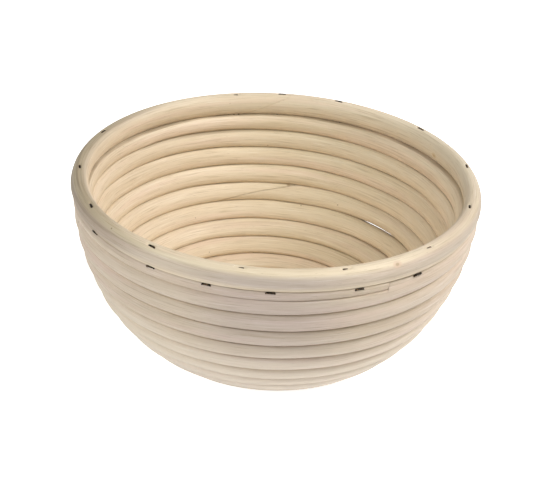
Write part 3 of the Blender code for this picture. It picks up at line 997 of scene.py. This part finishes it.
def studio_floor():
    """Large round pale floor, which looks white and sends a little light up."""
    points, faces = [(0.0, 0.0, 0.0)], []
    for ring in range(FLOOR_RINGS):
        radius = FLOOR_FIRST * FLOOR_GROWTH ** ring
        for k in range(FLOOR_AROUND):
            angle = TURN * k / FLOOR_AROUND
            points.append((radius * math.cos(angle), radius * math.sin(angle), 0.0))
    for k in range(FLOOR_AROUND):
        faces.append((0, 1 + k, 1 + (k + 1) % FLOOR_AROUND))
    for ring in range(FLOOR_RINGS - 1):
        first, second = 1 + ring * FLOOR_AROUND, 1 + (ring + 1) * FLOOR_AROUND
        for k in range(FLOOR_AROUND):
            after = (k + 1) % FLOOR_AROUND
            faces.append((first + k, second + k, second + after, first + after))
    mesh = bpy.data.meshes.new("studio_floor")
    mesh.from_pydata(points, [], faces)
    mesh.shade_smooth()
    floor = bpy.data.objects.new("studio_floor", mesh)
    bpy.context.scene.collection.objects.link(floor)
    made, tree, shader = new_material("studio_floor_look")
    coords = node(tree, "ShaderNodeTexCoord", (-1200, 0)).outputs["Object"]
    grain = stretched_noise(tree, coords, (260, 260, 260), 3.0, 0.6)
    colour = mix(tree, grain, (0.86, 0.86, 0.86), (0.89, 0.89, 0.89))
    tree.links.new(colour, shader.inputs["Base Color"])
    shader.inputs["Roughness"].default_value = 0.9
    shader.inputs["Specular IOR Level"].default_value = 0.1
    shader.inputs["Emission Color"].default_value = (0.75, 0.75, 0.75, 1.0)
    seen = node(tree, "ShaderNodeLightPath", (-1200, -300)).outputs["Is Camera Ray"]
    tree.links.new(remap(tree, seen, 0.0, 1.0, 0.34, 1.0), shader.inputs["Emission Strength"])
    mesh.materials.append(made)
    floor.location.z = -FLOOR_DROP


LAMP_AIM = Vector((0.0, 0.0, 0.05))
LAMP_DISTANCE = 1.6
LAMP_SIZE = 0.9
# Lamps: name, heading and height in degrees, power in watts, colour
LAMPS = (
    ("front", 0, 25, 1.1, (0.75, 0.80, 1.0)),
    ("front_right", 45, 45, 6.5, (0.93, 1.0, 0.82)),
    ("right", 90, 46, 19.6, (1.0, 0.95, 0.97)),
    ("front_left", 310, 33, 12.4, (0.95, 0.98, 0.94)),
    ("back_left", 235, 12, 4.5, (1.0, 0.98, 0.95)),
    ("back_right", 160, 12, 3.2, (1.0, 0.98, 0.95)),
)


def soft_light(name, heading, height, power, colour):
    """Round soft lamp turned to the basket."""
    lamp = bpy.data.lights.new(name, "AREA")
    lamp.shape = "DISK"
    lamp.size = LAMP_SIZE
    lamp.energy = power
    lamp.color = colour
    thing = bpy.data.objects.new(name, lamp)
    turn, rise = math.radians(heading), math.radians(height)
    toward = Vector((math.sin(turn) * math.cos(rise), -math.cos(turn) * math.cos(rise),
                     math.sin(rise)))
    thing.location = LAMP_AIM + toward * LAMP_DISTANCE
    thing.rotation_euler = (-toward).to_track_quat("-Z", "Y").to_euler()
    bpy.context.scene.collection.objects.link(thing)


def surroundings():
    """Dim even room that looks white; the lamps do the lighting."""
    world = bpy.data.worlds.new("studio")
    bpy.context.scene.world = world
    world.use_nodes = True
    tree = world.node_tree
    shader = tree.nodes["Background"]
    shader.inputs["Color"].default_value = (1.0, 1.0, 1.0, 1.0)
    seen = node(tree, "ShaderNodeLightPath", (-600, 0)).outputs["Is Camera Ray"]
    tree.links.new(remap(tree, seen, 0.0, 1.0, 0.04, 0.96), shader.inputs["Strength"])


# The camera looks at the middle of the rim, then turns a little down and rolls
CAMERA_DISTANCE = 0.8773
CAMERA_ELEVATION = math.radians(26.608)
CAMERA_ROLL = math.radians(3.497)
CAMERA_ASIDE = 0.00023
CAMERA_DOWN = 0.02945
CAMERA_LENS = 115.66              # millimetres, on a sensor 36 wide


def camera():
    """The photograph's view: nearly a metre off and a little above."""
    scene = bpy.context.scene
    lens = bpy.data.cameras.new("camera")
    eye = bpy.data.objects.new("camera", lens)
    scene.collection.objects.link(eye)
    scene.camera = eye
    centre = Vector((0.0, 0.0, RIM_HEIGHT))
    start = Vector((0.0, -math.cos(CAMERA_ELEVATION), math.sin(CAMERA_ELEVATION)))
    start = start * CAMERA_DISTANCE
    forward = -start.normalized()
    right = Vector((1.0, 0.0, 0.0))
    up = right.cross(forward)
    aim = right * CAMERA_ASIDE - up * CAMERA_DOWN
    forward = (aim - start).normalized()
    right = forward.cross(Vector((0.0, 0.0, 1.0))).normalized()
    up = right.cross(forward)
    tilted_right = right * math.cos(CAMERA_ROLL) + up * math.sin(CAMERA_ROLL)
    tilted_up = up * math.cos(CAMERA_ROLL) - right * math.sin(CAMERA_ROLL)
    matrix = Matrix((tilted_right, tilted_up, -forward)).transposed().to_4x4()
    matrix.translation = centre + start
    eye.matrix_world = matrix
    lens.sensor_width = 36.0
    lens.lens = CAMERA_LENS
    lens.clip_start = 0.01
    lens.clip_end = 50.0
    lens.dof.use_dof = False


camera()
studio_floor()
surroundings()
for lamp in LAMPS:
    soft_light(*lamp)
bpy.context.scene.view_settings.view_transform = "Standard"
bpy.context.scene.view_settings.look = "None"
